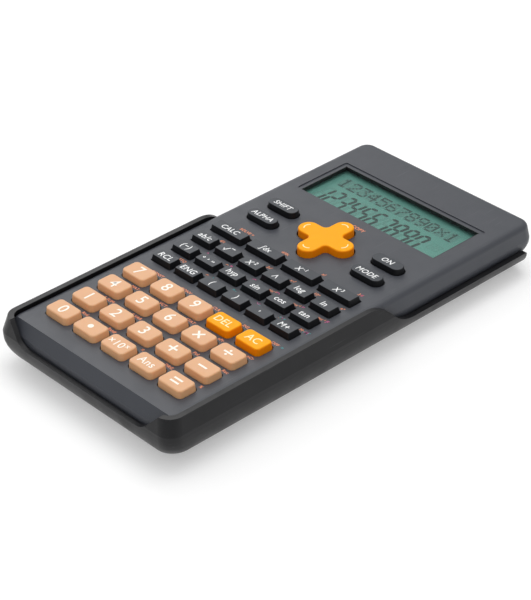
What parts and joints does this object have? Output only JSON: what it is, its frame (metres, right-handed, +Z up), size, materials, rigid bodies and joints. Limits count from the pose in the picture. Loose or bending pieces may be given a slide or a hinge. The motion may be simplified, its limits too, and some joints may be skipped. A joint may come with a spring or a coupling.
{
  "type": "scientific calculator",
  "caption": "Pocket scientific calculator with a two-line display, coloured press keys and a four-way cursor pad, lying in its hard slide-on case",
  "frame": {"origin": "bottom centre of the whole object's box, on the surface the slide case stands on", "axes": "+X right, +Y towards the display end, +Z up out of the keypad"},
  "size_m": [0.084, 0.1634, 0.0196],
  "materials": {
    "body_plastic": "satin",
    "case_plastic": "satin",
    "peach_key": "matte",
    "orange_key": "matte",
    "dark_key": "satin",
    "clear_lens": "gloss",
    "lcd_glass": "gloss",
    "silicone": "matte",
    "board_laminate": "satin",
    "cell_wrap": "satin",
    "contact_metal": "satin",
    "screw_steel": "satin"
  },
  "bodies": {
    "slide_case_body": {"slide_case": "case_plastic"},
    "calculator": {"battery": "cell_wrap", "battery_contact_plate": "contact_metal", "battery_cover": "body_plastic", "battery_spring": "contact_metal", "case_screws": "screw_steel", "circuit_board": "board_laminate", "display_window": "clear_lens", "front_case": "body_plastic", "keypad_membrane": "silicone", "lcd_connector": "silicone", "lcd_panel": "lcd_glass", "rear_case": "body_plastic"},
    "key_0_body": {"key_0": "peach_key"},
    "key_1_body": {"key_1": "peach_key"},
    "key_2_body": {"key_2": "peach_key"},
    "key_3_body": {"key_3": "peach_key"},
    "key_4_body": {"key_4": "peach_key"},
    "key_5_body": {"key_5": "peach_key"},
    "key_6_body": {"key_6": "peach_key"},
    "key_7_body": {"key_7": "peach_key"},
    "key_8_body": {"key_8": "peach_key"},
    "key_9_body": {"key_9": "peach_key"},
    "key_alpha_body": {"key_alpha": "dark_key"},
    "key_answer_body": {"key_answer": "peach_key"},
    "key_calculate_body": {"key_calculate": "dark_key"},
    "key_clear_body": {"key_clear": "orange_key"},
    "key_close_bracket_body": {"key_close_bracket": "dark_key"},
    "key_comma_body": {"key_comma": "dark_key"},
    "key_cosine_body": {"key_cosine": "dark_key"},
    "key_cube_body": {"key_cube": "dark_key"},
    "key_degrees_body": {"key_degrees": "dark_key"},
    "key_delete_body": {"key_delete": "orange_key"},
    "key_divide_body": {"key_divide": "peach_key"},
    "key_engineering_body": {"key_engineering": "dark_key"},
    "key_equals_body": {"key_equals": "peach_key"},
    "key_exponent_body": {"key_exponent": "peach_key"},
    "key_fraction_body": {"key_fraction": "dark_key"},
    "key_hyperbolic_body": {"key_hyperbolic": "dark_key"},
    "key_integral_body": {"key_integral": "dark_key"},
    "key_inverse_body": {"key_inverse": "dark_key"},
    "key_log_body": {"key_log": "dark_key"},
    "key_memory_body": {"key_memory": "dark_key"},
    "key_minus_body": {"key_minus": "peach_key"},
    "key_mode_body": {"key_mode": "dark_key"},
    "key_natural_log_body": {"key_natural_log": "dark_key"},
    "key_negative_body": {"key_negative": "dark_key"},
    "key_on_body": {"key_on": "dark_key"},
    "key_open_bracket_body": {"key_open_bracket": "dark_key"},
    "key_plus_body": {"key_plus": "peach_key"},
    "key_point_body": {"key_point": "peach_key"},
    "key_power_body": {"key_power": "dark_key"},
    "key_recall_body": {"key_recall": "dark_key"},
    "key_root_body": {"key_root": "dark_key"},
    "key_shift_body": {"key_shift": "dark_key"},
    "key_sine_body": {"key_sine": "dark_key"},
    "key_square_body": {"key_square": "dark_key"},
    "key_tangent_body": {"key_tangent": "dark_key"},
    "key_times_body": {"key_times": "peach_key"},
    "cursor_pad_body": {"cursor_pad": "orange_key"}
  },
  "joints": [
    {"name": "slide_out", "type": "slide", "parent": "slide_case_body", "child": "calculator", "axis": [0, 1, 0], "range_m": [0, 0.165]},
    {"name": "press_0", "type": "slide", "parent": "calculator", "child": "key_0_body", "axis": [0, 0, -1], "range_m": [0, 0.0012], "stiffness_N_per_m": 500, "deforming": ["keypad_membrane"]},
    {"name": "press_1", "type": "slide", "parent": "calculator", "child": "key_1_body", "axis": [0, 0, -1], "range_m": [0, 0.0012], "stiffness_N_per_m": 500, "deforming": ["keypad_membrane"]},
    {"name": "press_2", "type": "slide", "parent": "calculator", "child": "key_2_body", "axis": [0, 0, -1], "range_m": [0, 0.0012], "stiffness_N_per_m": 500, "deforming": ["keypad_membrane"]},
    {"name": "press_3", "type": "slide", "parent": "calculator", "child": "key_3_body", "axis": [0, 0, -1], "range_m": [0, 0.0012], "stiffness_N_per_m": 500, "deforming": ["keypad_membrane"]},
    {"name": "press_4", "type": "slide", "parent": "calculator", "child": "key_4_body", "axis": [0, 0, -1], "range_m": [0, 0.0012], "stiffness_N_per_m": 500, "deforming": ["keypad_membrane"]},
    {"name": "press_5", "type": "slide", "parent": "calculator", "child": "key_5_body", "axis": [0, 0, -1], "range_m": [0, 0.0012], "stiffness_N_per_m": 500, "deforming": ["keypad_membrane"]},
    {"name": "press_6", "type": "slide", "parent": "calculator", "child": "key_6_body", "axis": [0, 0, -1], "range_m": [0, 0.0012], "stiffness_N_per_m": 500, "deforming": ["keypad_membrane"]},
    {"name": "press_7", "type": "slide", "parent": "calculator", "child": "key_7_body", "axis": [0, 0, -1], "range_m": [0, 0.0012], "stiffness_N_per_m": 500, "deforming": ["keypad_membrane"]},
    {"name": "press_8", "type": "slide", "parent": "calculator", "child": "key_8_body", "axis": [0, 0, -1], "range_m": [0, 0.0012], "stiffness_N_per_m": 500, "deforming": ["keypad_membrane"]},
    {"name": "press_9", "type": "slide", "parent": "calculator", "child": "key_9_body", "axis": [0, 0, -1], "range_m": [0, 0.0012], "stiffness_N_per_m": 500, "deforming": ["keypad_membrane"]},
    {"name": "press_alpha", "type": "slide", "parent": "calculator", "child": "key_alpha_body", "axis": [0, 0, -1], "range_m": [0, 0.0012], "stiffness_N_per_m": 500, "deforming": ["keypad_membrane"]},
    {"name": "press_answer", "type": "slide", "parent": "calculator", "child": "key_answer_body", "axis": [0, 0, -1], "range_m": [0, 0.0012], "stiffness_N_per_m": 500, "deforming": ["keypad_membrane"]},
    {"name": "press_calculate", "type": "slide", "parent": "calculator", "child": "key_calculate_body", "axis": [0, 0, -1], "range_m": [0, 0.0012], "stiffness_N_per_m": 500, "deforming": ["keypad_membrane"]},
    {"name": "press_clear", "type": "slide", "parent": "calculator", "child": "key_clear_body", "axis": [0, 0, -1], "range_m": [0, 0.0012], "stiffness_N_per_m": 500, "deforming": ["keypad_membrane"]},
    {"name": "press_close_bracket", "type": "slide", "parent": "calculator", "child": "key_close_bracket_body", "axis": [0, 0, -1], "range_m": [0, 0.0012], "stiffness_N_per_m": 500, "deforming": ["keypad_membrane"]},
    {"name": "press_comma", "type": "slide", "parent": "calculator", "child": "key_comma_body", "axis": [0, 0, -1], "range_m": [0, 0.0012], "stiffness_N_per_m": 500, "deforming": ["keypad_membrane"]},
    {"name": "press_cosine", "type": "slide", "parent": "calculator", "child": "key_cosine_body", "axis": [0, 0, -1], "range_m": [0, 0.0012], "stiffness_N_per_m": 500, "deforming": ["keypad_membrane"]},
    {"name": "press_cube", "type": "slide", "parent": "calculator", "child": "key_cube_body", "axis": [0, 0, -1], "range_m": [0, 0.0012], "stiffness_N_per_m": 500, "deforming": ["keypad_membrane"]},
    {"name": "press_degrees", "type": "slide", "parent": "calculator", "child": "key_degrees_body", "axis": [0, 0, -1], "range_m": [0, 0.0012], "stiffness_N_per_m": 500, "deforming": ["keypad_membrane"]},
    {"name": "press_delete", "type": "slide", "parent": "calculator", "child": "key_delete_body", "axis": [0, 0, -1], "range_m": [0, 0.0012], "stiffness_N_per_m": 500, "deforming": ["keypad_membrane"]},
    {"name": "press_divide", "type": "slide", "parent": "calculator", "child": "key_divide_body", "axis": [0, 0, -1], "range_m": [0, 0.0012], "stiffness_N_per_m": 500, "deforming": ["keypad_membrane"]},
    {"name": "press_engineering", "type": "slide", "parent": "calculator", "child": "key_engineering_body", "axis": [0, 0, -1], "range_m": [0, 0.0012], "stiffness_N_per_m": 500, "deforming": ["keypad_membrane"]},
    {"name": "press_equals", "type": "slide", "parent": "calculator", "child": "key_equals_body", "axis": [0, 0, -1], "range_m": [0, 0.0012], "stiffness_N_per_m": 500, "deforming": ["keypad_membrane"]},
    {"name": "press_exponent", "type": "slide", "parent": "calculator", "child": "key_exponent_body", "axis": [0, 0, -1], "range_m": [0, 0.0012], "stiffness_N_per_m": 500, "deforming": ["keypad_membrane"]},
    {"name": "press_fraction", "type": "slide", "parent": "calculator", "child": "key_fraction_body", "axis": [0, 0, -1], "range_m": [0, 0.0012], "stiffness_N_per_m": 500, "deforming": ["keypad_membrane"]},
    {"name": "press_hyperbolic", "type": "slide", "parent": "calculator", "child": "key_hyperbolic_body", "axis": [0, 0, -1], "range_m": [0, 0.0012], "stiffness_N_per_m": 500, "deforming": ["keypad_membrane"]},
    {"name": "press_integral", "type": "slide", "parent": "calculator", "child": "key_integral_body", "axis": [0, 0, -1], "range_m": [0, 0.0012], "stiffness_N_per_m": 500, "deforming": ["keypad_membrane"]},
    {"name": "press_inverse", "type": "slide", "parent": "calculator", "child": "key_inverse_body", "axis": [0, 0, -1], "range_m": [0, 0.0012], "stiffness_N_per_m": 500, "deforming": ["keypad_membrane"]},
    {"name": "press_log", "type": "slide", "parent": "calculator", "child": "key_log_body", "axis": [0, 0, -1], "range_m": [0, 0.0012], "stiffness_N_per_m": 500, "deforming": ["keypad_membrane"]},
    {"name": "press_memory", "type": "slide", "parent": "calculator", "child": "key_memory_body", "axis": [0, 0, -1], "range_m": [0, 0.0012], "stiffness_N_per_m": 500, "deforming": ["keypad_membrane"]},
    {"name": "press_minus", "type": "slide", "parent": "calculator", "child": "key_minus_body", "axis": [0, 0, -1], "range_m": [0, 0.0012], "stiffness_N_per_m": 500, "deforming": ["keypad_membrane"]},
    {"name": "press_mode", "type": "slide", "parent": "calculator", "child": "key_mode_body", "axis": [0, 0, -1], "range_m": [0, 0.0012], "stiffness_N_per_m": 500, "deforming": ["keypad_membrane"]},
    {"name": "press_natural_log", "type": "slide", "parent": "calculator", "child": "key_natural_log_body", "axis": [0, 0, -1], "range_m": [0, 0.0012], "stiffness_N_per_m": 500, "deforming": ["keypad_membrane"]},
    {"name": "press_negative", "type": "slide", "parent": "calculator", "child": "key_negative_body", "axis": [0, 0, -1], "range_m": [0, 0.0012], "stiffness_N_per_m": 500, "deforming": ["keypad_membrane"]},
    {"name": "press_on", "type": "slide", "parent": "calculator", "child": "key_on_body", "axis": [0, 0, -1], "range_m": [0, 0.0012], "stiffness_N_per_m": 500, "deforming": ["keypad_membrane"]},
    {"name": "press_open_bracket", "type": "slide", "parent": "calculator", "child": "key_open_bracket_body", "axis": [0, 0, -1], "range_m": [0, 0.0012], "stiffness_N_per_m": 500, "deforming": ["keypad_membrane"]},
    {"name": "press_plus", "type": "slide", "parent": "calculator", "child": "key_plus_body", "axis": [0, 0, -1], "range_m": [0, 0.0012], "stiffness_N_per_m": 500, "deforming": ["keypad_membrane"]},
    {"name": "press_point", "type": "slide", "parent": "calculator", "child": "key_point_body", "axis": [0, 0, -1], "range_m": [0, 0.0012], "stiffness_N_per_m": 500, "deforming": ["keypad_membrane"]},
    {"name": "press_power", "type": "slide", "parent": "calculator", "child": "key_power_body", "axis": [0, 0, -1], "range_m": [0, 0.0012], "stiffness_N_per_m": 500, "deforming": ["keypad_membrane"]},
    {"name": "press_recall", "type": "slide", "parent": "calculator", "child": "key_recall_body", "axis": [0, 0, -1], "range_m": [0, 0.0012], "stiffness_N_per_m": 500, "deforming": ["keypad_membrane"]},
    {"name": "press_root", "type": "slide", "parent": "calculator", "child": "key_root_body", "axis": [0, 0, -1], "range_m": [0, 0.0012], "stiffness_N_per_m": 500, "deforming": ["keypad_membrane"]},
    {"name": "press_shift", "type": "slide", "parent": "calculator", "child": "key_shift_body", "axis": [0, 0, -1], "range_m": [0, 0.0012], "stiffness_N_per_m": 500, "deforming": ["keypad_membrane"]},
    {"name": "press_sine", "type": "slide", "parent": "calculator", "child": "key_sine_body", "axis": [0, 0, -1], "range_m": [0, 0.0012], "stiffness_N_per_m": 500, "deforming": ["keypad_membrane"]},
    {"name": "press_square", "type": "slide", "parent": "calculator", "child": "key_square_body", "axis": [0, 0, -1], "range_m": [0, 0.0012], "stiffness_N_per_m": 500, "deforming": ["keypad_membrane"]},
    {"name": "press_tangent", "type": "slide", "parent": "calculator", "child": "key_tangent_body", "axis": [0, 0, -1], "range_m": [0, 0.0012], "stiffness_N_per_m": 500, "deforming": ["keypad_membrane"]},
    {"name": "press_times", "type": "slide", "parent": "calculator", "child": "key_times_body", "axis": [0, 0, -1], "range_m": [0, 0.0012], "stiffness_N_per_m": 500, "deforming": ["keypad_membrane"]},
    {"name": "rock_cursor_pad", "type": "hinge", "parent": "calculator", "child": "cursor_pad_body", "pos_m": [0, 0.0228, 0.0137], "axis": [1, 0, 0], "range_deg": [-3, 3], "stiffness_Nm_per_rad": 0.05, "deforming": ["keypad_membrane"]}
  ]
}
